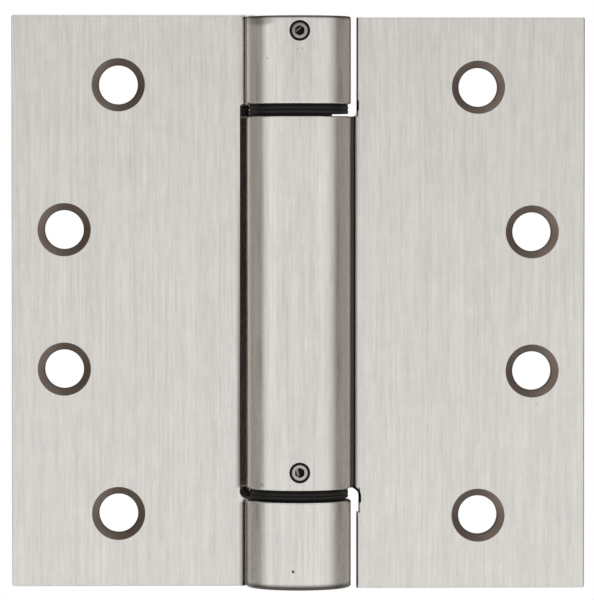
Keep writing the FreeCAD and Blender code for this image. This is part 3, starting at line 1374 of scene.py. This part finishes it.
@dataclass(frozen=True)
class Studio:
    """Plain pale room with grey cards round the hinge."""

    floor_z: float = -0.100
    floor_size: float = 0.8
    floor_colour: Rgb = (0.97, 0.97, 0.97)
    floor_roughness: float = 0.9
    side_reach: float = 0.5
    side_front: float = -0.12
    side_back: float = 1.4
    side_height: float = 1.6
    side_colour: Rgb = (0.315, 0.280, 0.262)
    side_fade: float = 0.2
    back_colour: Rgb = (0.10, 0.09, 0.083)
    brow_middle: tuple[float, float, float] = (0.0, -1.2, 0.60)
    brow_size: Pair = (2.4, 1.5)
    brow_colour: Rgb = (0.65, 0.637, 0.624)
    brow_fade: float = 0.6
    lamp_middle: tuple[float, float, float] = (-0.2, -1.3, 0.9)
    lamp_size: Pair = (1.2, 0.6)
    lamp_watts: float = 2.0

    def build(self) -> None:
        """Make the world, floor, cards and lamp."""
        bpy.context.scene.view_settings.view_transform = "Standard"
        self._world()
        self._floor()
        for card in self._cards():
            card.build()
        self._lamp()

    def _cards(self) -> list[Card]:
        """Lay out the cards.

        Returns:
            The two side cards, the one behind and the one above the camera.
        """
        depth = self.side_back - self.side_front
        middle = (self.side_back + self.side_front) / 2
        upright = (QUARTER_TURN, 0.0, 0.0)
        cards = []
        for side, name in ((-1, "side_card_left"), (1, "side_card_right")):
            spot = (side * self.side_reach, middle, 0.0)
            turn = (0.0, QUARTER_TURN, 0.0)
            cards.append(Card(name, spot, self.side_height, depth, turn, self.side_colour, self.side_fade))
        behind = (0.0, self.side_back, 0.0)
        wide = 2 * self.side_reach
        cards.append(Card("back_card", behind, wide, self.side_height, upright, self.back_colour))
        cards.append(
            Card("brow_card", self.brow_middle, *self.brow_size, upright, self.brow_colour, self.brow_fade)
        )
        return cards

    def _world(self) -> None:
        """White surroundings."""
        world = bpy.data.worlds.new("studio")
        world.use_nodes = True
        tree = world.node_tree
        fill(tree, tree.nodes["Background"], in_Color=(1.0, 1.0, 1.0), in_Strength=1.0)
        bpy.context.scene.world = world

    def _floor(self) -> None:
        """Pale floor below the hinge."""
        start_clean()
        bpy.ops.mesh.primitive_plane_add(size=self.floor_size, location=(0, 0, self.floor_z))
        floor = bpy.context.object
        floor.name = "floor"
        material, tree, shader = material_tree("floor_white")
        fill(tree, shader, in_Base_Color=self.floor_colour, in_Roughness=self.floor_roughness)
        floor.data.materials.append(material)

    def _lamp(self) -> None:
        """Soft lamp above the front."""
        light = bpy.data.lights.new("front_lamp", "AREA")
        light.shape = "RECTANGLE"
        light.size, light.size_y = self.lamp_size
        light.energy = self.lamp_watts
        lamp = bpy.data.objects.new("front_lamp", light)
        bpy.context.scene.collection.objects.link(lamp)
        lamp.location = self.lamp_middle
        lamp.rotation_mode = "QUATERNION"
        lamp.rotation_quaternion = (-lamp.location).to_track_quat("-Z", "Y")
        lamp.visible_camera = False


def main() -> None:
    """Build and dress the hinge, then the studio round it."""
    logging.basicConfig(level=logging.INFO, format="%(message)s")
    effects = SurfaceEffects()
    Leaves().build(effects)
    nylon = MouldedNylon("washer_nylon", (0.0105, 0.0095, 0.009), 0.48, 0.14).build(effects)
    # Near-black nylon for the bearings, cores and boss, darker than the washers as painted shade in the
    # gaps.
    bearing = MouldedNylon("bearing_nylon", (0.003, 0.003, 0.003), 0.5, 0.08).build(effects)
    pairs = (
        WasherPair("upper_bearing_washer", "upper_thrust_washer", Body.DOOR_LEAF, Body.FRAME),
        WasherPair("lower_thrust_washer", "lower_bearing_washer", Body.FRAME, Body.DOOR_LEAF),
    )
    for pair in pairs:
        pair.build(nylon, bearing)
    # Painted reflections across the sockets' floors.
    slanting = Glint(-0.22, 0.28, 37.5, 1.25, 0.26, 0.9)
    upright = Glint(-0.42, 0.0, -75.0, 1.7, 0.42, 0.85)
    screws = (
        (SetScrew("tension_lock_screw", Body.FRAME), (0.36, 0.345, 0.325), slanting, 0.5),
        (SetScrew("anchor_lock_screw", Body.DOOR_LEAF), (0.48, 0.46, 0.43), upright, 0.0),
    )
    for screw, face_and_glint, glint, lean in screws:
        height = node_middle(screw.node)[0].z / MM
        screw.build(SocketScrewSteel(screw.node + "_steel", height, face_and_glint, glint, lean).build(effects))
    hub_steel = TurnedMetal("hub_steel", (0.52, 0.5, 0.47), 0.32).build(effects)
    wire = TurnedMetal("spring_wire", (0.2, 0.19, 0.18), 0.38).build(effects)
    inner = {
        "upper_sleeve_bearing": bearing,
        "lower_sleeve_bearing": bearing,
        "tension_hub": hub_steel,
        "spring_anchor_plug": hub_steel,
        "lower_pivot_pin": hub_steel,
        "bottom_plug": hub_steel,
        "upper_spring_seat": hub_steel,
        "lower_spring_seat": hub_steel,
        "torsion_spring": wire,
    }
    for node, material in inner.items():
        dress_node(node, material)
    Studio().build()
    Viewpoint().build()


if __name__ == "__main__":
    main()
